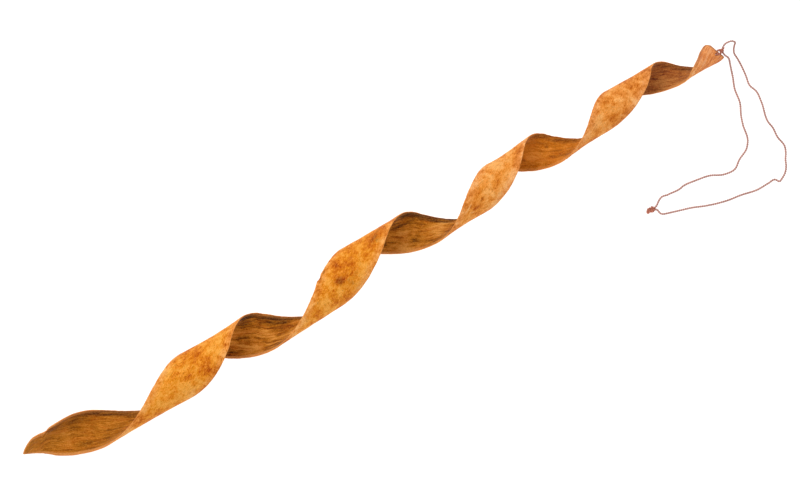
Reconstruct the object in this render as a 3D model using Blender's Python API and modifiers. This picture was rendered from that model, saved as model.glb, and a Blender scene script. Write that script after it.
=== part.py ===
"""A curled strip of bark with a loop of thin string tied through a hole in its end.

The strip winds round a long straight axis like a wood shaving. It is drawn flat first, as two edges on a
sheet whose width is the distance along the axis and whose height is the turn round it, and is then wrapped
round the axis. X runs along the bark from its pointed tip to the string, Z is up, and the bark rests on
small flats at Z = 0. Units are metres; MM turns millimetres into them.
"""
import bpy
import bmesh
import numpy as np
from mathutils import Matrix, Vector

MM = 0.001

# The strip: wall thickness, and how far its edges stand off the cylinder that its middle follows.
WALL = 1.8
EDGE_FLARE = 0.7
FLARE_BASE = 0.4

# Where each edge crosses every quarter turn, from turn 0 on: distance along the axis.
QUARTER = 0.25
LEADING_X = (-195, -158.5, -130, -112, -80, -44.5, -16, 3, 38, 64, 86, 99, 127, 151.5, 169, 184, 213)
TRAILING_X = (-136, -103.5, -84.5, -64.5, -27, 6.5, 28, 45.5, 74, 103.3, 119.5, 136, 164, 193.3, 206, 219.3, 239)
# A row of the strip joins its leading edge to the trailing edge this much of a turn back, and half as much
# is the row's place either side of its middle.
HALF_LAG = 0.12

# The pointed tip and the cut end: (row, turn, distance along the axis) on each edge.
TIP_LEADING = ((-0.480, -0.352, -242.2), (-0.403, -0.283, -233), (-0.331, -0.211, -225.5), (-0.272, -0.152, -218),
               (-0.226, -0.106, -210.5), (-0.174, -0.054, -203))
TIP_TRAILING = ((-0.480, -0.368, -242.2), (-0.465, -0.445, -235.4), (-0.440, -0.487, -229), (-0.403, -0.500, -219),
                (-0.331, -0.485, -207), (-0.272, -0.425, -198.5), (-0.226, -0.365, -191.5),
                (-0.174, -0.305, -184.5), (-0.080, -0.200, -169.5))
END_LEADING = ((4.07, 4.19, 224), (4.10, 4.236, 227.7), (4.12, 4.268, 230.2), (4.14, 4.292, 232.4),
               (4.155, 4.312, 234.8), (4.165, 4.314, 236.1), (4.173, 4.303, 237.4), (4.18, 4.284, 238.6))
END_TRAILING = ((4.18, 4.06, 242.5),)

# The curl: (distance along the axis, radius to the middle of the wall).
CURL_RADIUS = ((-242, 12.6), (-200, 12.8), (-160, 12.3), (-100, 12.2), (-40, 13.1), (-5, 12.9), (20, 12.5),
               (60, 11.6), (90, 10.9), (118, 11.0), (150, 9.9), (190, 9.3), (220, 8.4), (243, 8.3))
# The axis bows sideways, and its low turns stand clear of the surface here and there: (distance, offset).
AXIS_ACROSS = ((-242, 0), (-205, -0.1), (-160, -2.0), (-100, -3.8), (-75, -3.8), (-40, -2.8), (-10, -0.9),
               (25, -1.1), (60, -1.2), (90, -1.5), (118, -0.4), (150, -0.3), (180, 0), (205, -0.2), (243, -1.0))
AXIS_LIFT = ((-242, 1.0), (-176, 0), (-90, 0.3), (-64, 0), (25, 0.8), (136, 0), (183, 0), (243, 0.6))
# Depth to which the low points are worn flat, and the place on the drawing of the part's origin.
WORN_FLAT = 0.3
DRAWING_ORIGIN = (0.4, -1.54)

# Mesh of the strip: rows along it, columns across it, and how much closer the rows are at the tip.
ROWS = 140
COLUMNS = 7
TIP_CROWDING = 1.12

# The hole near the cut end, where it is on the drawing, and the drill that cuts it.
HOLE_DIAMETER = 3.0
HOLE_CENTRE = (239.0, -5.1)
DRILL_DEPTH = 8
DRILL_SIDES = 16
# The hole is looked for over the last rows of the strip, on a grid of this many places along and across it.
SEARCH_ROWS = 0.15
SEARCH_GRID = (120, 90)

# The slab that wears the low points flat: longer and wider than the bark.
SLAB_SIZE = (520, 60, 10)

# The string: diameter, its turn through the hole and over the cut end, and the knot just outside that end.
STRING_DIAMETER = 1.3
TIE_REACH = 3.7
TIE_HALF_HEIGHT = 2.3
TIE_POINTS = 20
TIE_KNOT_REACH = 4.15
TIE_KNOT_RADII = (1.15, 1.4, 1.2)

# Routes of the two strands from the tie to the far knot, as points on the strand's middle.
FLOOR = 0.75
STRAND_A = ((244.9, -3.6, 17.2), (246.8, -2.9, 17.2), (249.1, -3.0, 16.8), (251.4, -3.8, 15.6), (252.5, -5.2, 14.0),
            (251.5, -6.7, 11.0), (250.2, -8.8, 7.0), (249.7, -11.0, 4.2), (250.0, -14.3, 2.2), (249.9, -18.9, 1.0),
            (248.9, -26.5, FLOOR), (247.9, -31.6, FLOOR), (249.5, -37.5, FLOOR), (248.7, -44.3, FLOOR),
            (245.9, -57.4, FLOOR), (246.4, -60.4, FLOOR), (245.9, -67.4, FLOOR), (246.7, -74.4, FLOOR),
            (245.0, -78.4, FLOOR), (242.9, -81.5, FLOOR), (241.2, -85.0, FLOOR), (238.5, -88.2, FLOOR),
            (235.0, -90.2, FLOOR), (233.0, -90.9, FLOOR), (231.2, -88.5, FLOOR), (226.5, -88.3, FLOOR),
            (219.2, -88.2, FLOOR), (208.6, -85.7, FLOOR), (200.5, -84.3, FLOOR), (193.0, -82.2, FLOOR),
            (187.0, -80.0, FLOOR), (179.3, -76.6, FLOOR), (172.5, -74.3, FLOOR), (166.6, -72.3, FLOOR),
            (164.3, -71.5, FLOOR), (162.6, -70.8, 0.8), (161.6, -69.8, 0.9), (161.2, -68.4, 1.1), (160.9, -66.7, 1.3))
STRAND_B = ((242.9, -7.3, 15.9), (243.2, -8.6, 15.0), (244.2, -10.4, 12.9), (244.6, -12.1, 9.8), (244.2, -14.5, 5.9),
            (243.4, -17.6, 2.9), (241.9, -22.3, 1.0), (239.2, -28.8, FLOOR), (237.3, -38.2, FLOOR),
            (233.9, -44.9, FLOOR), (232.1, -49.8, FLOOR), (229.4, -59.9, FLOOR), (226.4, -63.5, FLOOR),
            (219.1, -67.0, FLOOR), (213.9, -70.4, FLOOR), (206.2, -69.6, FLOOR), (199.0, -65.9, FLOOR),
            (190.3, -63.9, FLOOR), (181.8, -62.8, FLOOR), (178.7, -63.2, FLOOR), (175.3, -62.9, FLOOR),
            (172.7, -62.5, FLOOR), (170.7, -62.3, FLOOR), (169.1, -61.8, FLOOR), (167.5, -61.6, FLOOR),
            (165.7, -62.1, 0.8), (164.1, -63.0, 0.9), (161.8, -64.5, 1.3))
STRAND_STEP = 3.1
STRING_BEVEL = 2
CAP_WELD = 0.01

# The far knot: its lumps as (centre, radii), its two short ends, and the fineness of every lump.
FAR_KNOT_LUMPS = (((158.8, -65.1, 1.9), (1.6, 1.7, 1.75)), ((159.4, -63.7, 1.6), (1.2, 1.2, 1.4)),
                  ((158.2, -66.5, 1.5), (1.2, 1.2, 1.3)))
FAR_KNOT_ENDS = (((158.6, -64.4, 1.6), (157.3, -63.5, 1.5), (156.2, -63.6, 1.3), (155.3, -64.4, 1.1), (154.5, -65.4, 0.85)),
                 ((158.2, -66.1, 1.5), (157.3, -65.9, 1.4), (156.5, -65.6, 1.2), (155.7, -66.0, 1.0), (155.0, -66.6, 0.85)))
LUMP_GRID = (14, 9)


def material(name, colour, roughness):
    """A plain Principled material."""
    made = bpy.data.materials.new(name)
    made.use_nodes = True
    shader = made.node_tree.nodes["Principled BSDF"]
    shader.inputs["Base Color"].default_value = (*colour, 1.0)
    shader.inputs["Roughness"].default_value = roughness
    return made


def collection(name):
    made = bpy.data.collections.new(name)
    bpy.context.scene.collection.children.link(made)
    return made


def add_object(name, mesh, where, finish=None):
    made = bpy.data.objects.new(name, mesh)
    where.objects.link(made)
    if finish:
        mesh.materials.append(finish)
    return made


def mesh_from(shape, name):
    """A finished bmesh as a mesh."""
    mesh = bpy.data.meshes.new(name)
    shape.to_mesh(mesh)
    shape.free()
    return mesh


def smooth_through(points, at):
    """Cubic curve through (parameter, value...) points. Its slope at each point is the mean of the slopes of
    the two stretches that meet there, each weighted by the length of the other stretch."""
    table = np.array(points, float)
    place, value = table[:, 0], table[:, 1:]
    step = np.diff(place)[:, None]
    rise = np.diff(value, axis=0) / step
    inner = (rise[:-1] * step[1:] + rise[1:] * step[:-1]) / (step[1:] + step[:-1])
    slope = np.vstack([rise[:1], inner, rise[-1:]])
    at = np.clip(at, place[0], place[-1])
    i = np.clip(np.searchsorted(place, at) - 1, 0, len(place) - 2)
    h = step[i]
    t = (at - place[i])[..., None] / h
    return ((2 * t**3 - 3 * t**2 + 1) * value[i] + (t**3 - 2 * t**2 + t) * h * slope[i]
            + (3 * t**2 - 2 * t**3) * value[i + 1] + (t**3 - t**2) * h * slope[i + 1])


def edge_points(tip, quarter_x, lag, end):
    """The points of one edge as (row, turn, distance), from the tip to the cut end."""
    turns = [(QUARTER * i + lag, QUARTER * i, x) for i, x in enumerate(quarter_x)]
    return list(tip) + turns + list(end)


LEADING_EDGE = edge_points(TIP_LEADING, LEADING_X, -HALF_LAG, END_LEADING)
TRAILING_EDGE = edge_points(TIP_TRAILING, TRAILING_X, HALF_LAG, END_TRAILING)
FIRST_ROW = LEADING_EDGE[0][0]
LAST_ROW = LEADING_EDGE[-1][0]


def wrap(distance, turn, lift):
    """Points round the curled axis, in metres. Turn 0 is the -Y side and a quarter turn is the top."""
    radius = smooth_through(CURL_RADIUS, distance)[..., 0]
    across = smooth_through(AXIS_ACROSS, distance)[..., 0]
    floor = smooth_through(AXIS_LIFT, distance)[..., 0]
    outer = radius + EDGE_FLARE * (1 - FLARE_BASE) + WALL / 2 - WORN_FLAT
    angle = 2 * np.pi * turn
    y = across - (radius + lift) * np.cos(angle)
    z = floor + outer + (radius + lift) * np.sin(angle)
    return np.stack([distance - DRAWING_ORIGIN[0], y - DRAWING_ORIGIN[1], z], axis=-1) * MM


def strip_points(row, across):
    """Points of the strip's middle surface: rows join the edges, across is 0 at the leading one."""
    lead = smooth_through(LEADING_EDGE, row)
    trail = smooth_through(TRAILING_EDGE, row)
    turn, distance = (lead + (trail - lead) * across[..., None]).T
    lift = EDGE_FLARE * ((2 * across - 1) ** 2 - FLARE_BASE)
    return wrap(distance.T, turn.T, lift)


def drawing_point(x, y, z):
    """A point of the drawing, in metres in the part's frame."""
    return Vector((x - DRAWING_ORIGIN[0], y - DRAWING_ORIGIN[1], z)) * MM


def hole_frame():
    """The hole's centre in the middle of the wall, the way out to the cut end and the wall's outward normal."""
    row, share = np.meshgrid(np.linspace(LAST_ROW - SEARCH_ROWS, LAST_ROW, SEARCH_GRID[0]),
                             np.linspace(0, 1, SEARCH_GRID[1]), indexing="ij")
    points = strip_points(row, share)
    offset = points[..., :2] - drawing_point(*HOLE_CENTRE, 0)[:2]
    i, j = np.unravel_index(np.argmin(np.linalg.norm(offset, axis=-1)), row.shape)
    along = Vector(points[i + 1, j] - points[i - 1, j])
    across = Vector(points[i, j + 1] - points[i, j - 1])
    normal = across.cross(along).normalized()
    outward = Vector((1, 0, 0))
    outward = (outward - outward.dot(normal) * normal).normalized()
    return Vector(points[i, j]), outward, normal


def cut(body, cutter, name):
    modifier = body.modifiers.new(name, "BOOLEAN")
    modifier.operation = "DIFFERENCE"
    modifier.object = cutter
    cutter.hide_render = True
    cutter.display_type = "WIRE"


def make_bark(parts, cutters, finish):
    """The strip: a flat grid carried to the curl, given its wall, with the tie hole and the worn flats cut."""
    sheet = bmesh.new()
    bmesh.ops.create_grid(sheet, x_segments=ROWS, y_segments=COLUMNS, size=0.5)
    flat = np.array([vert.co[:2] for vert in sheet.verts]) + 0.5
    row = FIRST_ROW + (LAST_ROW - FIRST_ROW) * flat[:, 0] ** TIP_CROWDING
    for vert, point in zip(sheet.verts, strip_points(row, flat[:, 1])):
        vert.co = point
    mesh = mesh_from(sheet, "bark")
    mesh.shade_smooth()
    bark = add_object("bark", mesh, parts, finish)
    shell = bark.modifiers.new("wall", "SOLIDIFY")
    shell.thickness = WALL * MM
    shell.offset = 0
    shell.use_even_offset = True

    centre, _, normal = hole_frame()
    place = Matrix.Translation(centre) @ normal.to_track_quat("Z", "Y").to_matrix().to_4x4()
    radius = HOLE_DIAMETER / 2 * MM
    drill = bmesh.new()
    bmesh.ops.create_cone(drill, cap_ends=True, segments=DRILL_SIDES, radius1=radius, radius2=radius,
                          depth=DRILL_DEPTH * MM, matrix=place)
    cut(bark, add_object("hole_cutter", mesh_from(drill, "hole_cutter"), cutters), "tie_hole")

    length, width, depth = (side * MM for side in SLAB_SIZE)
    slab = bmesh.new()
    bmesh.ops.create_cube(slab, size=1, matrix=Matrix.Translation((0, 0, -depth / 2))
                          @ Matrix.Diagonal((length, width, depth, 1)))
    cut(bark, add_object("floor_cutter", mesh_from(slab, "floor_cutter"), cutters), "worn_flats")
    return bark


def cord_curve(name, points, where, finish=None, closed=False):
    """A round string through points given in metres."""
    curve = bpy.data.curves.new(name, "CURVE")
    curve.dimensions = "3D"
    curve.bevel_depth = STRING_DIAMETER / 2 * MM
    curve.bevel_resolution = STRING_BEVEL
    curve.use_fill_caps = not closed
    spline = curve.splines.new("POLY")
    spline.points.add(len(points) - 1)
    spline.use_cyclic_u = closed
    for spot, point in zip(spline.points, points):
        spot.co = (*point, 1)
    return add_object(name, curve, where, finish)


def along_route(route):
    """Evenly spaced points, in metres, on a smooth curve through a route's points on the drawing."""
    route = np.array(route, float)
    length = np.concatenate([[0], np.cumsum(np.linalg.norm(np.diff(route, axis=0), axis=1))])
    count = max(int(length[-1] / STRAND_STEP), len(route)) + 1
    points = smooth_through(np.column_stack([length, route]), np.linspace(0, length[-1], count))
    return [drawing_point(*point) for point in points]


def as_mesh(curve_object, where):
    """A curve object made a closed mesh object, its caps welded; the curve is removed."""
    bpy.context.view_layer.update()
    mesh = bpy.data.meshes.new_from_object(curve_object.evaluated_get(bpy.context.evaluated_depsgraph_get()))
    welded = bmesh.new()
    welded.from_mesh(mesh)
    bmesh.ops.remove_doubles(welded, verts=welded.verts, dist=CAP_WELD * MM)
    welded.to_mesh(mesh)
    welded.free()
    made = add_object(curve_object.name + "_mesh", mesh, where)
    bpy.data.objects.remove(curve_object)
    return made


def lump(name, centre, radii, where):
    """One rounded lump of a knot: its centre in metres, its radii in millimetres."""
    ball = bmesh.new()
    matrix = Matrix.Translation(centre) @ Matrix.Diagonal((*(radius * MM for radius in radii), 1))
    bmesh.ops.create_uvsphere(ball, u_segments=LUMP_GRID[0], v_segments=LUMP_GRID[1], radius=1, matrix=matrix)
    return add_object(name, mesh_from(ball, name), where)


def fuse(name, pieces, where, finish):
    """One body from several overlapping pieces, which are then removed."""
    base, *others = pieces
    gathered = collection("fused")
    for other in others:
        for holder in other.users_collection:
            holder.objects.unlink(other)
        gathered.objects.link(other)
    union = base.modifiers.new("union", "BOOLEAN")
    union.operation = "UNION"
    union.operand_type = "COLLECTION"
    union.collection = gathered
    bpy.context.view_layer.update()
    evaluated = base.evaluated_get(bpy.context.evaluated_depsgraph_get())
    mesh = bpy.data.meshes.new_from_object(evaluated)
    mesh.materials.clear()
    mesh.shade_smooth()
    for piece in pieces:
        bpy.data.objects.remove(piece)
    bpy.data.collections.remove(gathered)
    return add_object(name, mesh, where, finish)


def make_tie(parts, finish):
    """The string's turn through the hole and over the cut end, with the knot just outside that end."""
    hole, outward, normal = hole_frame()
    half = TIE_REACH / 2 * MM
    height = TIE_HALF_HEIGHT * MM
    turns = np.linspace(0, 2 * np.pi, TIE_POINTS, endpoint=False)
    loop = [hole + outward * half * (1 + np.cos(turn)) + normal * height * np.sin(turn) for turn in turns]
    ring = as_mesh(cord_curve("tie_ring", loop, parts, closed=True), parts)
    knot = lump("tie_knot", hole + outward * TIE_KNOT_REACH * MM, TIE_KNOT_RADII, parts)
    return fuse("string_tie", [ring, knot], parts, finish)


def make_far_knot(parts, finish):
    """The overhand knot that closes the loop, with its two short ends."""
    lumps = [lump(f"lump_{i}", drawing_point(*centre), radii, parts)
             for i, (centre, radii) in enumerate(FAR_KNOT_LUMPS)]
    ends = [as_mesh(cord_curve(f"end_{i}", along_route(route), parts), parts)
            for i, route in enumerate(FAR_KNOT_ENDS)]
    return fuse("string_knot", lumps + ends, parts, finish)


for old in list(bpy.data.objects):
    bpy.data.objects.remove(old)
bark_parts = collection("bark_with_string")
bark_cutters = collection("cutters")
make_bark(bark_parts, bark_cutters, material("bark", (0.58, 0.27, 0.07), 0.62))
string_finish = material("string", (0.36, 0.19, 0.15), 0.85)
make_tie(bark_parts, string_finish)
cord_curve("string_strand_a", along_route(STRAND_A), bark_parts, string_finish)
cord_curve("string_strand_b", along_route(STRAND_B), bark_parts, string_finish)
make_far_knot(bark_parts, string_finish)
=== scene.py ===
"""A curled strip of bark with a loop of thin string, lying on a white table and seen from straight above."""

import math

import bmesh
import bpy
import numpy as np
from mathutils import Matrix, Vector


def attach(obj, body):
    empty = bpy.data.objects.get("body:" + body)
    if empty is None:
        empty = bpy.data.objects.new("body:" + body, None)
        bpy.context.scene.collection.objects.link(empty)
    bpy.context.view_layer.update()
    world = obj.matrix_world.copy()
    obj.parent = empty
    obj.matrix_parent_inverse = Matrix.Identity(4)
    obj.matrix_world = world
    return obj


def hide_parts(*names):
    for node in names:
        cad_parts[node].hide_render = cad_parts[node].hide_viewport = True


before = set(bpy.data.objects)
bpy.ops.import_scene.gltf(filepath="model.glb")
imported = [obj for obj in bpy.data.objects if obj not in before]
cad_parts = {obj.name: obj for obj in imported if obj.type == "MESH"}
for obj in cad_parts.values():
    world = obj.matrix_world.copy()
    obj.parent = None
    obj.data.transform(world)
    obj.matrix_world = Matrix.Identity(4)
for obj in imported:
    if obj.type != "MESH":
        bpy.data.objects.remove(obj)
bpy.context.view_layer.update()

# The photograph was taken from above, square to the table, with a long lens. The picture is turned so that the
# bark climbs from the lower left to the upper right.
PICTURE_TURN = math.radians(-31.6)
CAMERA_PLACE = (0.01745, -0.00145, 2.014)
SENSOR_WIDTH = 36
LENS = 150

camera = bpy.data.objects.new("camera", bpy.data.cameras.new("camera"))
camera.data.sensor_width = SENSOR_WIDTH
camera.data.lens = LENS
camera.location = CAMERA_PLACE
camera.rotation_euler = (0, 0, PICTURE_TURN)
bpy.context.scene.collection.objects.link(camera)
bpy.context.scene.camera = camera


# The table is a plain white sheet, lit as evenly as a light table, so that almost no shadow shows round the
# bark. Two broad soft lights hang over it and the room is pale.
TABLE_SIZE = 6.0
PAPER = (0.45, 0.45, 0.45, 1)
WHITE = (1, 1, 1, 1)
GLOW = 0.85
ROOM_GLOW = 0.45
# Each light: its name, place, size and power.
PANELS = (("panel_behind", (-0.5, 1.5, 1.9), 1.6, 34), ("panel_front", (0.7, -1.3, 2.1), 1.8, 17))
# What one step of grain adds to red, green and blue, and the darkest that grain may make a colour.
GRAIN_STEP = (0.078, 0.044, 0.015)
DARKEST = (0.008, 0.003, 0.0005)


def screen_colour(red, green, blue):
    """A colour as the eye reads it from a screen, 0 to 255, in the linear numbers that shaders use."""
    seen = np.array([red, green, blue]) / 255
    linear = np.where(seen <= 0.04045, seen / 12.92, ((seen + 0.055) / 1.055) ** 2.4)
    return (*(float(part) for part in linear), 1.0)


class Field:
    """A value that varies over a surface, so that shader maths reads as a formula."""

    def __init__(self, finish, socket):
        self.finish = finish
        self.socket = socket

    def math(self, operation, *values):
        return self.finish.add("ShaderNodeMath", {"operation": operation}, dict(enumerate(values)))

    def __add__(self, other):
        return self.math("ADD", self, other)

    __radd__ = __add__

    def __sub__(self, other):
        return self.math("SUBTRACT", self, other)

    def __rsub__(self, other):
        return self.math("SUBTRACT", other, self)

    def __mul__(self, other):
        return self.math("MULTIPLY", self, other)

    __rmul__ = __mul__

    def swing(self, by):
        """How far a noise is from its middle value, times by."""
        return (self - 0.5) * by

    def rising(self, low, high):
        """0 below low, 1 above high, with a soft ramp between; the ramp falls where low is above high."""
        if low > high:
            return 1 - self.rising(high, low)
        return self.finish.add("ShaderNodeMapRange", {"interpolation_type": "SMOOTHSTEP"},
                               {"Value": self, "From Min": low, "From Max": high})


class Finish:
    """A material made of nodes, all of which come from the one method add."""

    def __init__(self, name):
        self.material = bpy.data.materials.new(name)
        self.material.use_nodes = True
        self.nodes = self.material.node_tree.nodes
        self.links = self.material.node_tree.links
        self.nodes.clear()

    def add(self, kind, settings, sockets, output=0):
        """Adds a node of this kind: its settings first, then the value or link of each socket named."""
        node = self.nodes.new(kind)
        for name, value in settings.items():
            if name == "stops":
                while len(node.color_ramp.elements) < len(value):
                    node.color_ramp.elements.new(1.0)
                for element, (position, colour) in zip(node.color_ramp.elements, value):
                    element.position = position
                    element.color = colour
            else:
                setattr(node, name, value)
        for name, value in sockets.items():
            if isinstance(value, Field):
                self.links.new(value.socket, node.inputs[name])
            else:
                node.inputs[name].default_value = value
        return Field(self, node.outputs[output]) if node.outputs else None

    def mix(self, share, below, above):
        """Colour below where share is 0, and above where it is 1."""
        return self.add("ShaderNodeMix", {"data_type": "RGBA"}, {0: share, 6: below, 7: above}, output=2)

    def ramp(self, value, shades):
        """A value turned into a colour. Each shade is a position and a colour as the eye reads it."""
        stops = [(position, screen_colour(*seen)) for position, seen in shades]
        return self.add("ShaderNodeValToRGB", {"stops": stops}, {"Fac": value})

    def stored(self, name):
        """A number kept at each point of the mesh."""
        return self.add("ShaderNodeAttribute", {"attribute_name": name}, {}, output=2)

    def shifted(self, place, wander, reach):
        """A place on the flat strip, moved along and across it by up to reach metres."""
        return self.add("ShaderNodeVectorMath", {"operation": "MULTIPLY_ADD"},
                        {0: wander, 1: (reach, reach, 0), 2: place})

    def noise(self, place, scale, detail=2.0, roughness=0.5, output=0):
        return self.add("ShaderNodeTexNoise", {}, {"Vector": place, "Scale": scale, "Detail": detail,
                                                   "Roughness": roughness}, output)

    def stretched(self, place, times):
        return self.add("ShaderNodeVectorMath", {"operation": "MULTIPLY"}, {0: place, 1: times})

    def grained(self, colour, amount):
        """A colour made lighter or darker by the same step in red, green and blue as the eye reads them, and
        kept above black. One unit of amount is about ten steps of 255."""
        stepped = self.add("ShaderNodeVectorMath", {"operation": "MULTIPLY_ADD"},
                           {0: amount, 1: GRAIN_STEP, 2: colour})
        return self.add("ShaderNodeVectorMath", {"operation": "MAXIMUM"}, {0: stepped, 1: DARKEST})

    def skin(self, colour, roughness, bump, **fixed):
        """The Principled surface that the other nodes feed."""
        shader = self.add("ShaderNodeBsdfPrincipled", {}, {"Base Color": colour, "Roughness": roughness,
                                                           "Normal": bump, **fixed})
        self.add("ShaderNodeOutputMaterial", {}, {"Surface": shader})
        return self.material


def light_table():
    """White paper that also glows a little, as paper on a light table does."""
    finish = Finish("white_table")
    paper = finish.add("ShaderNodeBsdfDiffuse", {}, {"Color": PAPER})
    glow = finish.add("ShaderNodeEmission", {}, {"Color": WHITE, "Strength": GLOW})
    both = finish.add("ShaderNodeAddShader", {}, {0: paper, 1: glow})
    finish.add("ShaderNodeOutputMaterial", {}, {"Surface": both})
    return finish.material


half = TABLE_SIZE / 2
table_mesh = bpy.data.meshes.new("table")
corners = [(-half, -half, 0), (half, -half, 0), (half, half, 0), (-half, half, 0)]
table_mesh.from_pydata(corners, [], [(0, 1, 2, 3)])
table_mesh.materials.append(light_table())
table = bpy.data.objects.new("table", table_mesh)
bpy.context.scene.collection.objects.link(table)


def soft_light(name, place, size, power):
    """A square light panel that faces the middle of the table."""
    light = bpy.data.lights.new(name, "AREA")
    light.size = size
    light.energy = power
    lamp = bpy.data.objects.new(name, light)
    lamp.location = place
    flat = math.hypot(place[0], place[1])
    lamp.rotation_euler = (0, math.atan2(flat, place[2]), math.atan2(place[1], place[0]))
    bpy.context.scene.collection.objects.link(lamp)


for panel in PANELS:
    soft_light(*panel)
bpy.context.scene.view_settings.view_transform = "Standard"
room = bpy.data.worlds.new("pale_room")
room.use_nodes = True
room.node_tree.nodes["Background"].inputs["Color"].default_value = WHITE
room.node_tree.nodes["Background"].inputs["Strength"].default_value = ROOM_GLOW
bpy.context.scene.world = room


# The string is one length of thin brown twine, two plies twisted together. Its two strands run down from the
# knot at the bark's end and lie on the table in loose bends until they meet in a second knot.
MM = 0.001
DRAWING_ORIGIN = (0.4, -1.54, 0)
PLY_RADIUS = 0.41
PLY_OFFSET = 0.27
TWIST_PITCH = 2.6
RING_STEP = 0.33
STRING_SIDES = 16
LYING_HEIGHT = 0.75
CURVE_STEPS = 4000
MERGE_DISTANCE = 1e-7
FIBRE_SCALE = 2600
PATCH_SCALE = 160
# Each strand on the drawing, in millimetres: down from the hole, along the table, and up into the far knot.
OUTER_DROP = ((243.2, -4.8, 17.0), (244.9, -3.6, 17.2), (246.8, -2.9, 17.2), (249.1, -3.0, 16.8),
              (251.4, -3.8, 15.6), (252.5, -5.2, 14.0), (251.5, -6.7, 11.0), (250.2, -8.8, 7.0),
              (249.7, -11.0, 4.2), (250.0, -14.3, 2.2), (249.9, -18.9, 1.0))
OUTER_LYING = ((248.9, -26.5), (247.9, -31.6), (249.5, -37.5), (248.7, -44.3), (245.9, -57.4), (246.4, -60.4),
               (245.9, -67.4), (246.7, -74.4), (245.0, -78.4), (242.9, -81.5), (241.2, -85.0), (238.5, -88.2),
               (235.0, -90.2), (233.0, -90.9), (231.2, -88.5), (226.5, -88.3), (219.2, -88.2), (208.6, -85.7),
               (200.5, -84.3), (193.0, -82.2), (187.0, -80.0), (179.3, -76.6), (172.5, -74.3), (166.6, -72.3),
               (164.3, -71.5))
OUTER_INTO_KNOT = ((162.6, -70.8, 0.8), (161.6, -69.8, 0.9), (161.2, -68.4, 1.1), (160.9, -66.7, 1.3),
                   (159.5, -65.6, 1.6))
INNER_DROP = ((243.0, -5.8, 16.6), (242.9, -7.3, 15.9), (243.2, -8.6, 15.0), (244.2, -10.4, 12.9),
              (244.6, -12.1, 9.8), (244.2, -14.5, 5.9), (243.4, -17.6, 2.9), (241.9, -22.3, 1.0))
INNER_LYING = ((239.2, -28.8), (237.3, -38.2), (233.9, -44.9), (232.1, -49.8), (229.4, -59.9), (226.4, -63.5),
               (219.1, -67.0), (213.9, -70.4), (206.2, -69.6), (199.0, -65.9), (190.3, -63.9), (181.8, -62.8),
               (178.7, -63.2), (175.3, -62.9), (172.7, -62.5), (170.7, -62.3), (169.1, -61.8), (167.5, -61.6))
INNER_INTO_KNOT = ((165.7, -62.1, 0.8), (164.1, -63.0, 0.9), (161.8, -64.5, 1.3), (159.6, -65.0, 1.6))


def smooth_through(points, at):
    """Cubic curve through (parameter, value...) points. Its slope at each point is the mean of the slopes of
    the two stretches that meet there, each weighted by the length of the other stretch."""
    table_of = np.array(points, float)
    place, value = table_of[:, 0], table_of[:, 1:]
    step = np.diff(place)[:, None]
    rise = np.diff(value, axis=0) / step
    inner = (rise[:-1] * step[1:] + rise[1:] * step[:-1]) / (step[1:] + step[:-1])
    slope = np.vstack([rise[:1], inner, rise[-1:]])
    at = np.clip(at, place[0], place[-1])
    i = np.clip(np.searchsorted(place, at) - 1, 0, len(place) - 2)
    h = step[i]
    t = (at - place[i])[..., None] / h
    return ((2 * t**3 - 3 * t**2 + 1) * value[i] + (t**3 - 2 * t**2 + t) * h * slope[i]
            + (3 * t**2 - 2 * t**3) * value[i + 1] + (t**3 - t**2) * h * slope[i + 1])


def route_of(drop, lying, into_knot):
    """A strand's whole route. The points that lie on the table are given without their height."""
    return (*drop, *((x, y, LYING_HEIGHT) for x, y in lying), *into_knot)


def along_route(route, step):
    """Evenly spaced points, in metres, on the smooth curve through the route's points on the drawing."""
    route = (np.array(route, float) - DRAWING_ORIGIN) * MM
    reach = np.concatenate([[0], np.cumsum(np.linalg.norm(np.diff(route, axis=0), axis=1))])
    fine = smooth_through(np.column_stack([reach, route]), np.linspace(0, reach[-1], CURVE_STEPS))
    reach = np.concatenate([[0], np.cumsum(np.linalg.norm(np.diff(fine, axis=0), axis=1))])
    count = int(reach[-1] / (step * MM)) + 1
    even = np.linspace(0, reach[-1], count)
    return np.stack([np.interp(even, reach, fine[:, axis]) for axis in range(3)], axis=1)


def unit(vectors):
    return vectors / np.linalg.norm(vectors, axis=-1, keepdims=True)


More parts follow.
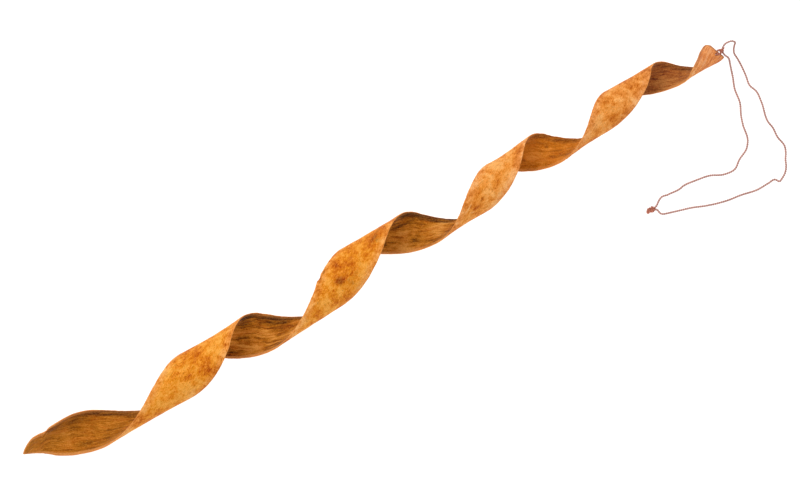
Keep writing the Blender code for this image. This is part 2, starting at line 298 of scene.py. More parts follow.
def twine(path, reference, closed=False, thickness=1.0):
    """Two round plies twisted together, carried along a path. At an angle a from the line through the two
    plies' middles, the surface is c |cos a| + sqrt(r r - c c sin a sin a) from the path, where r is a ply's
    radius and c how far its middle is from the path. The line turns once for each twist pitch, which a
    closed path changes a little to come round evenly. Open ends close to a point over the last rings.
    Returns the points, faces, and how proud each point stands."""
    if closed:
        ahead = np.roll(path, -1, axis=0) - np.roll(path, 1, axis=0)
    else:
        ahead = np.gradient(path, axis=0)
    ahead = unit(ahead)
    side = unit(np.cross(ahead, reference))
    above = np.cross(side, ahead)
    length = np.concatenate([[0], np.cumsum(np.linalg.norm(np.diff(path, axis=0), axis=1))])
    pitch = TWIST_PITCH * MM
    if closed:
        whole = length[-1] + np.linalg.norm(path[0] - path[-1])
        pitch = whole / max(round(whole / pitch * 2), 1) * 2
    angle = np.linspace(0, 2 * np.pi, STRING_SIDES, endpoint=False)
    turned = angle[None, :] + 0 * length[:, None]
    lobe = turned - 2 * np.pi * length[:, None] / pitch
    ply = PLY_RADIUS * MM * thickness
    offset = PLY_OFFSET * MM * thickness
    reach = offset * np.abs(np.cos(lobe)) + np.sqrt(ply**2 - (offset * np.sin(lobe)) ** 2)
    waist = np.sqrt(ply**2 - offset**2)
    proud = (reach - waist) / (ply + offset - waist)
    count, sides = reach.shape
    if not closed:
        from_end = np.minimum(np.arange(count), np.arange(count)[::-1])
        reach = reach * np.sqrt(np.clip(from_end / 2, 0, 1))[:, None]
    points = path[:, None] + reach[..., None] * (np.cos(turned)[..., None] * side[:, None]
                                                 + np.sin(turned)[..., None] * above[:, None])
    rows = count if closed else count - 1
    i, j = np.meshgrid(np.arange(rows), np.arange(sides), indexing="ij")
    k, m = (j + 1) % sides, (i + 1) % count
    faces = np.stack([i * sides + j, i * sides + k, m * sides + k, m * sides + j], axis=-1)
    return points.reshape(-1, 3), faces.reshape(-1, 4), proud.ravel()


def closed_up(mesh):
    """Merges the points that meet at seams and poles, and turns every face outwards."""
    merged = bmesh.new()
    merged.from_mesh(mesh)
    bmesh.ops.remove_doubles(merged, verts=merged.verts, dist=MERGE_DISTANCE)
    bmesh.ops.recalc_face_normals(merged, faces=merged.faces)
    merged.to_mesh(mesh)
    merged.free()


def twine_piece(name, strands, finish):
    """One object from several stretches of twine. Where it lies on the table its underside is pressed flat."""
    points = np.concatenate([strand[0] for strand in strands])
    points[:, 2] = np.maximum(points[:, 2], 0)
    starts = np.cumsum([0] + [len(strand[0]) for strand in strands])
    faces = np.concatenate([strand[1] + start for strand, start in zip(strands, starts)])
    mesh = bpy.data.meshes.new(name)
    mesh.from_pydata(points.tolist(), [], faces.tolist())
    proud = mesh.attributes.new("proud", "FLOAT", "POINT")
    proud.data.foreach_set("value", np.concatenate([strand[2] for strand in strands]).astype(np.float32))
    closed_up(mesh)
    mesh.shade_smooth()
    mesh.materials.append(finish)
    piece = bpy.data.objects.new(name, mesh)
    bpy.context.scene.collection.objects.link(piece)
    return piece


def twine_finish(name, light, dark):
    """Dull brown yarn with fine fibres. Each ply's crest is paler, a painted highlight, and the grooves between
    are darker, painted shade.
    """
    finish = Finish(name)
    place = finish.add("ShaderNodeTexCoord", {}, {}, output=3)
    proud = finish.stored("proud")
    fibre = finish.noise(place, FIBRE_SCALE, 4, 0.7)
    patch = finish.noise(place, PATCH_SCALE, 3)
    # Pale on the plies' crests, a painted highlight, and dark in the grooves, painted shade; the fibres and
    # patches are the yarn's own colour.
    body = finish.mix((proud * 0.6 + fibre * 0.9 - 0.25).rising(0.0, 1.0), dark, light)
    body = finish.mix(patch.rising(0.35, 0.75) * 0.35, body, dark)
    bump = finish.add("ShaderNodeBump", {}, {"Height": fibre, "Strength": 0.5, "Distance": 0.0001})
    return finish.skin(body, 0.9, bump)


# In both twines the pale colour is partly painted highlight on the ply crests and the dark colour partly
# painted shade in the grooves.
string_brown = twine_finish("string_brown", screen_colour(218, 172, 160), screen_colour(148, 94, 82))
UPRIGHT = np.array([0.0, 0.0, 1.0])

outer_path = along_route(route_of(OUTER_DROP, OUTER_LYING, OUTER_INTO_KNOT), RING_STEP)
string_outer = twine_piece("string_outer", [twine(outer_path, UPRIGHT)], string_brown)
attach(string_outer, "root")
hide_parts("string_strand_a")

inner_path = along_route(route_of(INNER_DROP, INNER_LYING, INNER_INTO_KNOT), RING_STEP)
string_inner = twine_piece("string_inner", [twine(inner_path, UPRIGHT)], string_brown)
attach(string_inner, "root")
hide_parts("string_strand_b")


# The string goes down through a small hole near the bark's cut end and back over that end, and is tied off
# in a tight knot just outside it, with one short cut end.
HOLE = np.array([0.23857, -0.00360, 0.01673])
HOLE_OUT = unit(np.array([-0.025, -0.507, 0.862]))
END_OUT = unit(np.array([0.9997, -0.0125, 0.021]))
TURN_REACH = 3.7
TURN_HALF_HEIGHT = 2.2
TURN_RINGS = 60
END_KNOT_REACH = 3.9
END_KNOT_SIZE = 0.36
END_KNOT_SLIM = 0.7
KNOT_RINGS = 110
KNOT_RISE = 1.15
STUB_REACH = 2.3
STUB_ASIDE = 0.9
STUB_RINGS = 14
STUB_THICKNESS = 0.8


def tight_knot(centre, size, slim, forward, upward):
    """An overhand knot pulled tight: the trefoil (sin t + 2 sin 2t, cos t - 2 cos 2t, -sin 3t), scaled to size
    along forward, by slim besides across it, and by the knot's rise upwards."""
    t = np.linspace(0, 2 * np.pi, KNOT_RINGS, endpoint=False)
    flat = np.stack([np.sin(t) + 2 * np.sin(2 * t), np.cos(t) - 2 * np.cos(2 * t)], axis=1)
    sideways = np.cross(upward, forward)
    path = centre + size * MM * (flat[:, :1] * forward + flat[:, 1:] * sideways * slim
                                 - KNOT_RISE * np.sin(3 * t)[:, None] * upward)
    return twine(path, upward, closed=True)


knot_brown = twine_finish("knot_brown", screen_colour(224, 140, 114), screen_colour(92, 30, 20))
half_reach = TURN_REACH / 2 * MM
t = np.linspace(0, 2 * np.pi, TURN_RINGS, endpoint=False)[:, None]
turn_path = HOLE + END_OUT * half_reach * (1 + np.cos(t)) + HOLE_OUT * TURN_HALF_HEIGHT * MM * np.sin(t)
turn_side = np.cross(HOLE_OUT, END_OUT)
end_knot = HOLE + END_OUT * END_KNOT_REACH * MM
stub = END_OUT * STUB_REACH + turn_side * STUB_ASIDE
stub_path = end_knot + np.linspace(0, 1, STUB_RINGS)[:, None] * stub * MM
string_turn = twine_piece("string_turn", [
    twine(turn_path, turn_side, closed=True),
    tight_knot(end_knot, END_KNOT_SIZE, END_KNOT_SLIM, END_OUT, HOLE_OUT),
    twine(stub_path, HOLE_OUT, thickness=STUB_THICKNESS)], knot_brown)
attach(string_turn, "root")
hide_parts("string_tie")


# The two strands are tied together in one overhand knot that closes the loop. Its two cut ends are a few
# millimetres long and have opened into their plies.
FAR_KNOT = (158.8, -65.1, 1.8)
FAR_KNOT_SIZE = 0.55
FAR_KNOT_SLIM = 0.62
FAR_KNOT_FORWARD = np.array([0.42, 0.907, 0.0])
LOOSE_PLY = 0.8
# The first and last of the loose plies, and how far each of them is from the first to the last.
FIRST_PLY = np.array([(158.6, -64.4, 1.6), (157.3, -63.5, 1.5), (156.2, -63.6, 1.3), (155.3, -64.4, 1.1),
                      (154.5, -65.6, 0.85)])
LAST_PLY = np.array([(158.2, -66.1, 1.5), (157.3, -65.9, 1.4), (156.4, -65.5, 1.2), (155.6, -65.7, 1.0),
                     (154.9, -66.2, 0.85)])
PLY_SHARES = (0, 0.35, 0.7, 1)

far_centre = (np.array(FAR_KNOT) - DRAWING_ORIGIN) * MM
loose_plies = [along_route(FIRST_PLY * (1 - share) + LAST_PLY * share, RING_STEP) for share in PLY_SHARES]
string_far_knot = twine_piece("string_far_knot", [
    tight_knot(far_centre, FAR_KNOT_SIZE, FAR_KNOT_SLIM, FAR_KNOT_FORWARD, UPRIGHT),
    *(twine(path, UPRIGHT, thickness=LOOSE_PLY) for path in loose_plies)], knot_brown)
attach(string_far_knot, "root")
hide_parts("string_knot")


# The bark is one long strip that has dried and curled round itself like a wood shaving. It was drawn flat, as
# two edges on a sheet whose width is the distance along the curl and whose height is the turn round it. Its
# outside is orange-tan and mottled, its inside brown and streaked along the strip.
WALL = 1.8
EDGE_FLARE = 0.7
FLARE_BASE = 0.4
WORN_FLAT = 0.3
# Where each edge is at every quarter turn, as a distance along the curl, and how far the rows lean there.
QUARTER = 0.25
HALF_LAG = 0.12
LEADING_X = (-195, -158.5, -130, -112, -80, -44.5, -16, 3, 38, 64, 86, 99, 127, 151.5, 169, 184, 213)
TRAILING_X = (-136, -103.5, -84.5, -64.5, -27, 6.5, 28, 45.5, 74, 103.3, 119.5, 136, 164, 193.3, 206, 219.3,
              239)
# The tip and the cut end, where the edges leave that rule: row, turn and distance.
TIP_LEADING = ((-0.480, -0.352, -242.2), (-0.403, -0.283, -233), (-0.331, -0.211, -225.5),
               (-0.272, -0.152, -218), (-0.226, -0.106, -210.5), (-0.174, -0.054, -203))
TIP_TRAILING = ((-0.480, -0.368, -242.2), (-0.465, -0.445, -235.4), (-0.440, -0.487, -229),
                (-0.431, -0.470, -226.3), (-0.422, -0.450, -223.6), (-0.413, -0.478, -221),
                (-0.403, -0.500, -219), (-0.331, -0.485, -207), (-0.272, -0.425, -198.5),
                (-0.226, -0.365, -191.5), (-0.174, -0.305, -184.5), (-0.080, -0.200, -169.5))
END_LEADING = ((4.07, 4.19, 224), (4.10, 4.236, 227.7), (4.12, 4.268, 230.2), (4.14, 4.292, 232.4),
               (4.155, 4.312, 234.8), (4.165, 4.314, 236.1), (4.173, 4.303, 237.4), (4.18, 4.284, 238.6))
END_TRAILING = ((4.18, 4.06, 242.5),)
# By distance along the curl: its radius, and its axis's shift across and upwards.
CURL_RADIUS = ((-242, 12.6), (-200, 12.8), (-160, 12.3), (-100, 12.2), (-40, 13.1), (-5, 12.9), (20, 12.5),
               (60, 11.6), (90, 10.9), (118, 11.0), (150, 9.9), (190, 9.3), (220, 8.4), (243, 8.3))
AXIS_ACROSS = ((-242, 0), (-205, -0.1), (-160, -2.0), (-100, -3.8), (-75, -3.8), (-40, -2.8), (-10, -0.9),
               (25, -1.1), (60, -1.2), (90, -1.5), (118, -0.4), (150, -0.3), (180, 0), (205, -0.2), (243, -1.0))
AXIS_LIFT = ((-242, 1.0), (-176, 0), (-90, 0.3), (-64, 0), (25, 0.8), (136, 0), (183, 0), (243, 0.6))
# The wall thins to this share of itself at the edges, over this band.
THIN_EDGE = 0.55
THIN_BAND = 5.0
THIN_POWER = 0.7
HOLE_WIDTH = 1.9
DRILL_DEPTH = 7
DRILL_SIDES = 40
# The grid: rows, a little closer together at the tip, and points round the rims and across the faces.
ROWS = 940
ROW_POWER = 1.05
RIM_POINTS = 6
FACE_POINTS = 40
RIM_SHARE = 0.036
ROW_SLANT = 1.08
END_ROUND = 0.9
CAP_SIZE = 0.8
CAP_BULGE = 0.02
# Soft random heights: how many numbers are drawn, and where the reading of them starts.
LINE_DRAWS, LINE_START = 4096, 1000
FIELD_DRAWS, FIELD_START = (512, 256), (300, 100)
# The edges' small waves: height, and length in rows. The seeds follow on from each edge's first seed.
EDGE_WAVES = ((0.2, 0.033), (0.12, 0.011))
LEADING_SEED, TRAILING_SEED = 3, 5
# The chipped stretch of the leading edge: row, half length in rows, depth, and its unevenness.
CHIP_ROW, CHIP_HALF, CHIP_DEPTH = 1.22, 0.05, 0.9
CHIP_ROUGH, CHIP_CELL, CHIP_SEED = 0.8, 0.009, 7
# The faces' relief: height, cell along and across the strip, and seed. It is sunk so that the tops stay flush.
PITS = ((0.10, 7, 6, 11), (0.07, 2.4, 2.2, 12))
RIDGES = ((0.10, 24, 1.7, 13), (0.08, 9, 5, 14))
RELIEF_SINK = 0.1
# Marks that show from above: place on the drawing, half length, half width, turn in degrees, how dark, or
# pale below zero, and how rusty. The last two are read by their column.
DARK, RUSTY = 5, 6
# The broad pale marks on the outside, along the curl's upper and lower flanks, are painted highlight; the thin
# pale ones are scars.
OUTSIDE_MARKS = ((-123, 6.5, 5.4, 3.6, 28, 0.1, 0.6), (-138.7, 1.4, 4.8, 3, 28, 0.25, 0.8),
                 (-121.5, -7.1, 8.4, 1.8, 28, 0.1, 0.45), (-105.7, 4.9, 4.8, 2.1, 28, 0, 0.8),
                 (-130.4, -4.4, 1.8, 1.2, -32, 0.5, 0), (-138.7, -11.2, 6, 3.6, 8, -0.35, 0),
                 (-156.6, -12.8, 3, 1.5, 28, 0.4, 0.3), (-24.3, -3, 4.2, 3, -12, 1, 0.6),
                 (-18.8, -7.8, 2.4, 1.8, -32, 0.4, 0.2), (-8.6, 4.2, 6.6, 3, -12, 0.1, 1),
                 (-14.1, -3.7, 4.8, 2.4, 28, 0.35, 0.5), (-29.6, 6.6, 1.8, 0.9, 28, 0.8, 0),
                 (-34.1, 3.7, 2.4, 0.9, 38, 0.8, 0), (5.7, 8, 3.6, 0.7, 18, 0.5, 0),
                 (11, 11, 3.6, 0.9, 18, 0.4, 0), (-41.5, -7.1, 3, 1.5, 28, 0.4, 0.5),
                 (73.7, -5.8, 2.4, 0.7, 28, 0.9, 0), (67, -8.7, 2.7, 0.9, 8, 0.8, 0),
                 (76, -0.9, 3, 1.5, 28, 0.2, 0.9), (87.3, -0.8, 4.8, 2.4, 28, 0.2, 0.7),
                 (95.6, 2.5, 4.8, 1.8, 28, 0, 0.5), (64.2, -6.3, 4.8, 0.5, 30, -0.8, 0),
                 (65, -9.6, 1.8, 0.5, -2, -0.9, 0), (184.6, 4.6, 3, 1.8, -2, 0.95, 0.6),
                 (167.2, 4.8, 3, 1.8, 18, 0.5, 0.5), (167.7, -4.7, 3, 1.8, 18, 0.4, 0.5),
                 (171.2, -6.8, 1.5, 0.9, -32, -0.7, 0), (229.9, -1.6, 3, 1.2, 30, 0.4, 0.8),
                 (225.4, -4.4, 3.6, 1.2, 30, 0.45, 0.9), (234.9, -9.5, 5.4, 0.7, -2, 0.6, 0),
                 (237.9, -2.3, 2.4, 1.2, -77, 0.35, 0), (6.8, 7.6, 6, 4, 28, 0.55, 0.4),
                 (155.7, -3.6, 9, 4, 28, -0.6, 0), (65.8, -8.3, 4, 3, 28, -0.3, 0),
                 (184.4, 3.3, 9, 4, 28, -0.5, 0), (169.3, 0.5, 4, 3, 28, 0.35, 0.3),
                 (-134.5, -14, 7, 2, 28, -0.5, 0))
INSIDE_MARKS = ((-78.4, 1.7, 12, 1.2, -36, 0.7, 0), (-96, -1.6, 3, 2.4, -32, 0.35, 0),
                (-79.4, -6.9, 6, 3, -32, -0.45, 0), (-77.5, -13, 7.2, 0.5, -18, 0.8, 0),
                (23.5, 6.3, 5.4, 0.8, -7, 1.2, 0), (18.5, 1.6, 5.4, 0.7, -38, 1, 0),
                (26.3, -5.4, 2.4, 0.9, -32, 0.9, 0), (44, 0.4, 13.2, 1.1, -40, 1, 0),
                (124, 0.4, 1.2, 0.6, -32, 0.9, 0), (108.1, 1, 1.5, 0.7, -32, 0.8, 0),
                (123.4, -6.3, 1.2, 0.6, -32, 0.6, 0), (128.5, -7.3, 1.2, 0.6, -32, 0.6, 0),
                (215.4, -4.1, 1.5, 0.7, -32, 0.8, 0), (201.5, 0.9, 1.5, 0.7, -32, 0.8, 0),
                (-199.7, 6.2, 10, 2.5, -32, 0.5, 0), (204.5, -3, 8, 4, -32, -1.3, 0),
                (211.6, 2.4, 7, 1.5, -32, 0.35, 0), (33.3, 4.9, 9, 1.8, -32, 0.3, 0),
                (206.9, -0.9, 6, 2.5, -32, -0.5, 0), (123.9, 0.6, 1.4, 1, -32, 1.6, 0),
                (123.5, -6.1, 3, 0.8, -38, 1.3, 0), (107.7, 1.6, 2, 1.2, -32, 1.6, 0),
                (107.8, -3.1, 9, 2.6, -36, 0.55, 0), (117, 1.6, 6, 0.6, -32, 1, 0))


def edge_points(tip, quarter_x, lag, end):
    """The points of one edge as (row, turn, distance), from the tip to the cut end."""
    turns = [(QUARTER * i + lag, QUARTER * i, x) for i, x in enumerate(quarter_x)]
    return list(tip) + turns + list(end)


LEADING_EDGE = edge_points(TIP_LEADING, LEADING_X, -HALF_LAG, END_LEADING)
TRAILING_EDGE = edge_points(TIP_TRAILING, TRAILING_X, HALF_LAG, END_TRAILING)


def soft_random(at, cell, seed):
    """Smooth random heights between -1 and 1: random numbers a cell apart, joined by soft steps."""
    draws = np.random.default_rng(seed).uniform(-1, 1, LINE_DRAWS)
    at = np.asarray(at) / cell + LINE_START
    low = np.floor(at).astype(int)
    share = at - low
    share = share * share * (3 - 2 * share)
    return draws[low % LINE_DRAWS] * (1 - share) + draws[(low + 1) % LINE_DRAWS] * share


def soft_random_field(along, across, cell_along, cell_across, seed):
    """The same over a surface: four random numbers at the corners of each cell, joined both ways."""
    draws = np.random.default_rng(seed).uniform(-1, 1, FIELD_DRAWS)
    u, v = np.asarray(along) / cell_along + FIELD_START[0], np.asarray(across) / cell_across + FIELD_START[1]
    i, j = np.floor(u).astype(int), np.floor(v).astype(int)
    s, t = u - i, v - j
    s, t = s * s * (3 - 2 * s), t * t * (3 - 2 * t)

    def drawn(i, j):
        return draws[i % FIELD_DRAWS[0], j % FIELD_DRAWS[1]]

    near = drawn(i, j) * (1 - s) + drawn(i + 1, j) * s
    far = drawn(i, j + 1) * (1 - s) + drawn(i + 1, j + 1) * s
    return near * (1 - t) + far * t


def edge_waves(row, first_seed):
    """How far an edge wanders from its smooth curve: two sizes of soft random wave, added up."""
    return sum(height * soft_random(row, cell, first_seed + i) for i, (height, cell) in enumerate(EDGE_WAVES))


def relief(along, across, layers):
    """The height of a face's relief: layers of soft random field, added up."""
    return sum(height * soft_random_field(along, across, *cells_and_seed) for height, *cells_and_seed in layers)


def strip_middle(row, share):
    """The middle of the wall, in millimetres on the drawing. A row is a straight line on the flat sheet from
    the leading edge, at share 0, to the trailing edge, at share 1. The sheet is wrapped on a cylinder whose
    radius, sideways bow and lift follow the tables above. The edges flare outwards by a parabola, wander a
    little, and the leading one is chipped at one place."""
    lead = smooth_through(LEADING_EDGE, row)
    trail = smooth_through(TRAILING_EDGE, row)
    lead[..., 1] += edge_waves(row, LEADING_SEED)
    trail[..., 1] += edge_waves(row, TRAILING_SEED)
    chipped = np.exp(-((row - CHIP_ROW) / CHIP_HALF) ** 2)
    lead[..., 1] -= chipped * (CHIP_DEPTH + CHIP_ROUGH * soft_random(row, CHIP_CELL, CHIP_SEED))
    flat = lead + (trail - lead) * share[..., None]
    turn, distance = flat[..., 0], flat[..., 1]
    radius = smooth_through(CURL_RADIUS, distance)[..., 0]
    outer = radius + EDGE_FLARE * (1 - FLARE_BASE) + WALL / 2 - WORN_FLAT
    radius = radius + EDGE_FLARE * ((2 * share - 1) ** 2 - FLARE_BASE)
    angle = 2 * np.pi * turn
    across = smooth_through(AXIS_ACROSS, distance)[..., 0] - radius * np.cos(angle)
    height = smooth_through(AXIS_LIFT, distance)[..., 0] + outer + radius * np.sin(angle)
    return np.stack([distance, across, height], axis=-1)


def marked(points, marks, column):
    """How strongly the marks show at each point: the sum of strength exp(-(u u + v v)), where u and v are the
    distances along and across a mark in its own half lengths and half widths."""
    total = np.zeros(points.shape[:-1])
    for mark in marks:
        turn = math.radians(mark[4])
        east, north = points[..., 0] - mark[0], points[..., 1] - mark[1]
        u = (east * math.cos(turn) + north * math.sin(turn)) / mark[2]
        v = (north * math.cos(turn) - east * math.sin(turn)) / mark[3]
        total += mark[column] * np.exp(-(u * u + v * v))
    return total


def bark_mesh():
    """The strip as closed loops, one for each row: along the outer face, round the trailing rim, back along
    the inner face and round the leading rim. The faces stand half the wall off the middle along its normal,
    and less in the rims, whose section is half a circle. Low pits on the outside and ridges along the strip
    on the inside are added to that. The loops close up over the first and last rows. Each point keeps which
    side it is on, its distances from the edge and across the strip, and its marks, for the finish."""
    first, last = LEADING_EDGE[0][0], LEADING_EDGE[-1][0]
    row = first + (last - first) * np.linspace(0, 1, ROWS) ** ROW_POWER
    rim = RIM_SHARE * (1 - np.cos(np.linspace(0, np.pi / 2, RIM_POINTS, endpoint=False)))
    share = np.concatenate([rim, np.linspace(RIM_SHARE, 1 - RIM_SHARE, FACE_POINTS), 1 - rim[::-1]])
    rows, shares = np.meshgrid(row, share, indexing="ij")
    middle = strip_middle(rows, shares)
    down = np.gradient(middle, axis=0)
    over = np.gradient(middle, axis=1)
    normal = unit(np.cross(over, down))
    width = np.linalg.norm(middle[:, -1] - middle[:, 0], axis=-1)[:, None] * ROW_SLANT
    step = np.linalg.norm(np.diff(middle[:, len(share) // 2], axis=0), axis=-1)
    along = np.concatenate([[0], np.cumsum(step)])[:, None] + 0 * shares
    across = (shares - 0.5) * width
    from_edge = np.minimum(shares, 1 - shares) * width
    from_ends = np.minimum(along, along[-1] - along)
    round_rim = np.sqrt(1 - (1 - np.clip(np.minimum(shares, 1 - shares) / RIM_SHARE, 0, 1)) ** 2)
    round_end = np.sqrt(1 - (1 - np.clip(from_ends / END_ROUND, 0, 1)) ** 2)
    thick = WALL * (THIN_EDGE + (1 - THIN_EDGE) * np.clip(from_edge / THIN_BAND, 0, 1) ** THIN_POWER)
    middle = middle + normal * ((WALL - thick) / 2)[..., None]
    half_wall = thick / 2 * round_rim * np.where(along < along[-1] / 2, round_end, 1)
    pits = relief(along, across, PITS) * round_rim * round_end
    ridges = relief(along, across, RIDGES) * round_rim * round_end
    outside = middle + normal * (half_wall + pits - RELIEF_SINK * round_rim)[..., None]
    inside = middle - normal * (half_wall + ridges - RELIEF_SINK * round_rim)[..., None]

    def looped(outer, inner):
        return np.concatenate([outer, inner[:, -2:0:-1]], axis=1)

    def capped(grid):
        return np.concatenate([grid, grid[-1:], grid[-1:]])

    upper = outside[..., 2] > outside[..., 2].mean()
    dark = looped(marked(outside, OUTSIDE_MARKS, DARK) * upper, marked(inside, INSIDE_MARKS, DARK) * ~upper)
    rusty = looped(marked(outside, OUTSIDE_MARKS, RUSTY) * upper, 0 * shares)
    points = looped(outside, inside)
    cut = looped(middle, middle)[-1:]
    points = np.concatenate([points, cut + (points[-1:] - cut) * CAP_SIZE, cut])
    points[-2:, :, 0] += CAP_BULGE
    along, across = capped(looped(along, along)), capped(looped(across, across))
    from_edge = capped(looped(from_edge, from_edge))
    from_edge = np.minimum(from_edge, np.minimum(along, along.max() - along))
    inner_side = capped(looped(0.5 - 0.5 * round_rim, 0.5 + 0.5 * round_rim))
    count, around = points.shape[:2]
    i, j = np.meshgrid(np.arange(count - 1), np.arange(around), indexing="ij")
    k = (j + 1) % around
    faces = np.stack([i * around + j, i * around + k, (i + 1) * around + k, (i + 1) * around + j], axis=-1)
    place = (points.reshape(-1, 3) - DRAWING_ORIGIN) * MM
    place[:, 2] = np.maximum(place[:, 2], 0)
    faces = faces.reshape(-1, 4)
    mesh = bpy.data.meshes.new("bark_strip")
    mesh.from_pydata(place.tolist(), [], faces.tolist())
    for name, values in (("inner_side", inner_side), ("from_edge", from_edge * MM), ("across", across * MM),
                         ("dark", capped(dark)), ("rusty", capped(rusty))):
        layer = mesh.attributes.new(name, "FLOAT", "POINT")
        layer.data.foreach_set("value", values.ravel().astype(np.float32))
    flat = np.stack([along, across], axis=-1).reshape(-1, 2) * MM
    corner = np.empty(len(mesh.loops), int)
    mesh.loops.foreach_get("vertex_index", corner)
    mesh.uv_layers.new(name="strip").uv.foreach_set("vector", flat[corner].ravel().astype(np.float32))
    return mesh


# The bark's colours. The three ramps run from the darkest shade of each ground to its palest.
GOLDEN = ((0.15, (112, 58, 6)), (0.30, (178, 86, 4)), (0.42, (212, 116, 16)), (0.50, (233, 142, 34)),
          (0.60, (246, 168, 68)))
# The pinkish ground is the bark's own colour near the string, and painted highlight near the outside edges.
PINKISH = ((0.15, (118, 66, 28)), (0.30, (182, 98, 36)), (0.42, (216, 128, 54)), (0.50, (236, 152, 80)),
           (0.60, (249, 182, 118)))
STRIPES = ((0.12, (58, 32, 0)), (0.32, (118, 66, 0)), (0.46, (168, 99, 12)), (0.60, (202, 124, 36)),
           (0.82, (234, 160, 74)))
SPOT = screen_colour(150, 82, 14)
FLECK = screen_colour(150, 80, 22)
# Pale scars, and painted highlight on the curl's flanks.
PALE_SCAR_AND_HIGHLIGHT = screen_colour(250, 190, 118)
END_TAN = screen_colour(236, 142, 86)
END_DARK_LINE = screen_colour(200, 102, 50)
END_PALE_LINE = screen_colour(252, 190, 142)
END_BROWN_RIM = screen_colour(154, 104, 78)
WARM_STREAK = screen_colour(186, 92, 22)
HONEY = screen_colour(240, 136, 36)
REDDISH = screen_colour(156, 86, 62)
# The inside's painted shade along the trailing edge.
PAINTED_SHADE = screen_colour(70, 40, 18)
PALE_LIP = screen_colour(230, 152, 84)
PALE_RIM = screen_colour(232, 152, 80)


def outside_colour(finish, place, bent, noises, x, edge, dark, rusty):
    """A blotched golden ground, pinker towards the string, and paler and pinker near the edges as painted
    highlight. Over it lie dark spots, pale scars and broad painted highlights where the marks are, flecks in
    clusters, and a plainer tan stretch with long lines by the cut end. A fine grain covers it all."""
    blotch, mottle, crumb = noises
    broad = finish.noise(place, 38, 4, 0.6)
    grain = finish.noise(finish.stretched(bent, (330, 1300, 1)), 1, 6, 0.75)
    tone = 0.51 + broad.swing(0.4) + blotch.swing(0.75) + mottle.swing(0.45)
    tone = tone - rusty * (0.07 + mottle.swing(0.3)) - dark * 0.1 - x.rising(0.13, 0.16) * 0.012
    # Pinker towards the string is the bark's own tone; paler and pinker near the edges is painted highlight.
    pink_and_edge_highlight = x.rising(0.015, 0.09) * 0.45 + x.rising(0.15, 0.2) * 0.25 + edge.rising(0.006, 0.001) * 0.5
    colour = finish.mix(pink_and_edge_highlight - rusty * 0.2, finish.ramp(tone, GOLDEN), finish.ramp(tone, PINKISH))

    spot = (dark + blotch.swing(1.6) + mottle.swing(1.6)).rising(0.3, 0.95) * dark.rising(0.0, 0.15)
    colour = finish.mix(spot * 0.75, colour, SPOT)
    cluster = finish.noise(place, 55, 3).rising(0.4, 0.62) + rusty * 0.6
    fleck = finish.noise(finish.stretched(bent, (380, 1500, 1)), 1, 4, 0.65).rising(0.54, 0.66)
    colour = finish.mix(fleck * cluster * 0.5, colour, FLECK)
    # Pale where the marks fall below zero: thin pale scars, and broad painted highlights along the curl's
    # flanks.
    colour = finish.mix((0 - dark).rising(0.3, 0.8) * 0.6, colour, PALE_SCAR_AND_HIGHLIGHT)

    at_end = x.rising(0.218, 0.23)
    line = finish.noise(finish.stretched(bent, (70, 900, 1)), 1, 4, 0.6)
    colour = finish.mix(at_end * 0.45, colour, END_TAN)
    colour = finish.mix(at_end * line.rising(0.48, 0.6) * 0.6, colour, END_DARK_LINE)
    colour = finish.mix(at_end * line.rising(0.48, 0.38) * 0.55, colour, END_PALE_LINE)
    colour = finish.mix(at_end * edge.rising(0.0013, 0.0006) * 0.5, colour, END_BROWN_RIM)
    return finish.grained(colour, grain.swing(13) + crumb.swing(12) + mottle.swing(3))


def inside_colour(finish, place, bent, wavy, noises, x, edge, across, dark):
    """Brown in long wavy streaks and bands, which turns honey-coloured and then reddish towards the string,
    with a pale lip on both edges. It is darker towards the trailing side and has a ragged dark band along the
    trailing edge, both painted shade."""
    fibre, streak, crumb = noises
    band = finish.noise(finish.stretched(wavy, (36, 150, 1)), 1, 8, 0.72)
    cloud = finish.noise(place, 75, 5, 0.65)
    calm = 1 - x.rising(-0.12, -0.17) * 0.4
    depth = 0.525 + (cloud.swing(1.0) + band.swing(1.1) + streak.swing(1.2)) * calm + fibre.swing(0.7)
    # Darker towards the trailing side: painted shade.
    depth = depth - dark * (0.22 + streak.swing(1.2)) - across.rising(0.003, 0.0105) * 0.06
    warm = finish.noise(finish.stretched(wavy, (70, 260, 1)), 1, 4).rising(0.45, 0.7)
    colour = finish.mix(warm * 0.35, finish.ramp(depth, STRIPES), WARM_STREAK)
    colour = finish.mix(x.rising(0.05, 0.11) * (1 - x.rising(0.15, 0.18)) * 0.35, colour, HONEY)
    colour = finish.mix(x.rising(0.15, 0.19) * 0.45, colour, REDDISH)

    # A ragged band of painted shade along the trailing edge, where the turn above overhangs the inside.
    ragged = finish.noise(finish.stretched(bent, (60, 500, 1)), 1, 3).rising(0.35, 0.6)
    shade_band = edge.rising(0.0046, 0.0026) * across.rising(0.001, 0.003) * x.rising(-0.215, -0.19)
    strength = (0.25 + ragged * 0.6) * (1 - x.rising(0.06, 0.1) * 0.35)
    colour = finish.mix(shade_band * strength, colour, PAINTED_SHADE)
    lip = edge.rising(0.0021, 0.0013) * (1 - x.rising(-0.02, 0.05) * 0.5) * (1 - shade_band * 0.7)
    colour = finish.mix(lip * 0.75, colour, PALE_LIP)
    return finish.grained(colour, fibre.swing(5) + crumb.swing(10))


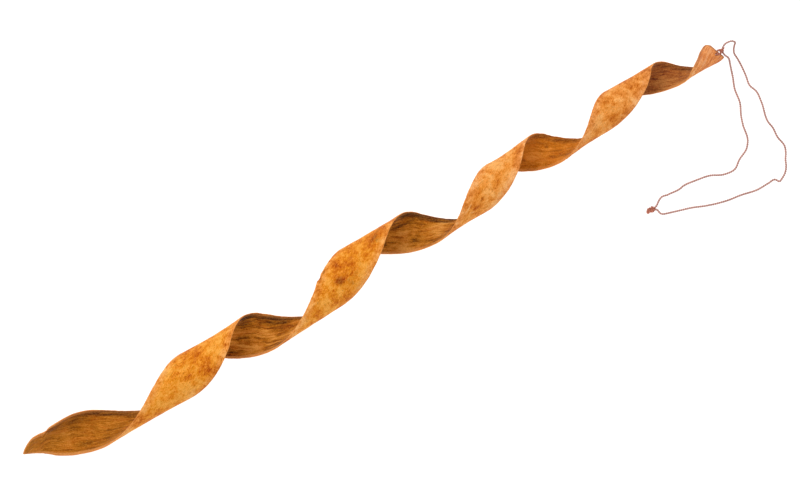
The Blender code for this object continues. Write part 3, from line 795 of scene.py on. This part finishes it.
def bark_finish():
    """Dry bark, matt, with its own colour outside and inside and a pale rim between. Masks rise or fall along
    x, from the tip at -0.243 to the cut end at 0.243, in from the edge, or across the strip, in metres. Noises
    with a grain are stretched along the flat strip, whose lines wander a little."""
    finish = Finish("dry_bark")
    names = ("inner_side", "from_edge", "across", "dark", "rusty")
    inner, edge, across, dark, rusty = (finish.stored(name) for name in names)
    place = finish.add("ShaderNodeTexCoord", {}, {}, output=3)
    strip = finish.add("ShaderNodeUVMap", {"uv_map": "strip"}, {})
    x = finish.add("ShaderNodeSeparateXYZ", {}, {0: place})
    bent = finish.shifted(strip, finish.noise(place, 90, 3, output=1), 0.0025)
    wavy = finish.shifted(strip, finish.noise(place, 60, 3, output=1), 0.007)

    blotch = finish.noise(place, 115, 8, 0.68)
    mottle = finish.noise(place, 430, 8, 0.72)
    crumb = finish.noise(place, 1400, 5, 0.8)
    fibre = finish.noise(finish.stretched(wavy, (110, 1900, 1)), 1, 8, 0.78)
    streak = finish.noise(finish.stretched(wavy, (60, 560, 1)), 1, 8, 0.74)

    outer = outside_colour(finish, place, bent, (blotch, mottle, crumb), x, edge, dark, rusty)
    inside = inside_colour(finish, place, bent, wavy, (fibre, streak, crumb), x, edge, across, dark)
    colour = finish.mix(inner.rising(0.5, 0.9), outer, inside)
    rim = inner.rising(0.04, 0.3) * inner.rising(0.95, 0.7)
    colour = finish.mix(rim * 0.6, colour, PALE_RIM)
    height = (1 - inner) * (mottle * 0.5 + blotch * 0.4 + crumb * 0.3) + inner * (fibre * 0.6 + streak * 0.9)
    bump = finish.add("ShaderNodeBump", {}, {"Height": height, "Strength": 0.9, "Distance": 0.0007})
    return finish.skin(colour, 0.7 + 0.15 * mottle, bump, **{"Specular IOR Level": 0.08, "Sheen Weight": 0.15,
                                                             "Sheen Roughness": 0.3})


def drill(piece, centre, direction, width, depth):
    """A round hole cut through a piece along a direction."""
    cutter = bmesh.new()
    bmesh.ops.create_cone(cutter, cap_ends=True, segments=DRILL_SIDES, radius1=width / 2,
                          radius2=width / 2, depth=depth)
    mesh = bpy.data.meshes.new("drill")
    cutter.to_mesh(mesh)
    cutter.free()
    bit = bpy.data.objects.new("drill", mesh)
    bpy.context.scene.collection.objects.link(bit)
    bit.location = centre
    bit.rotation_euler = direction.to_track_quat("Z", "Y").to_euler()
    cut = piece.modifiers.new("hole", "BOOLEAN")
    cut.operation = "DIFFERENCE"
    cut.object = bit
    bpy.context.view_layer.update()
    drilled = bpy.data.meshes.new_from_object(piece.evaluated_get(bpy.context.evaluated_depsgraph_get()))
    piece.modifiers.clear()
    piece.data = drilled
    bpy.data.objects.remove(bit)


bark_strip = bpy.data.objects.new("bark_strip", bark_mesh())
bpy.context.scene.collection.objects.link(bark_strip)
closed_up(bark_strip.data)
drill(bark_strip, Vector(HOLE), Vector(HOLE_OUT), HOLE_WIDTH * MM, DRILL_DEPTH * MM)
bark_strip.data.materials.clear()
bark_strip.data.materials.append(bark_finish())
bark_strip.data.shade_smooth()
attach(bark_strip, "root")
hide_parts("bark")
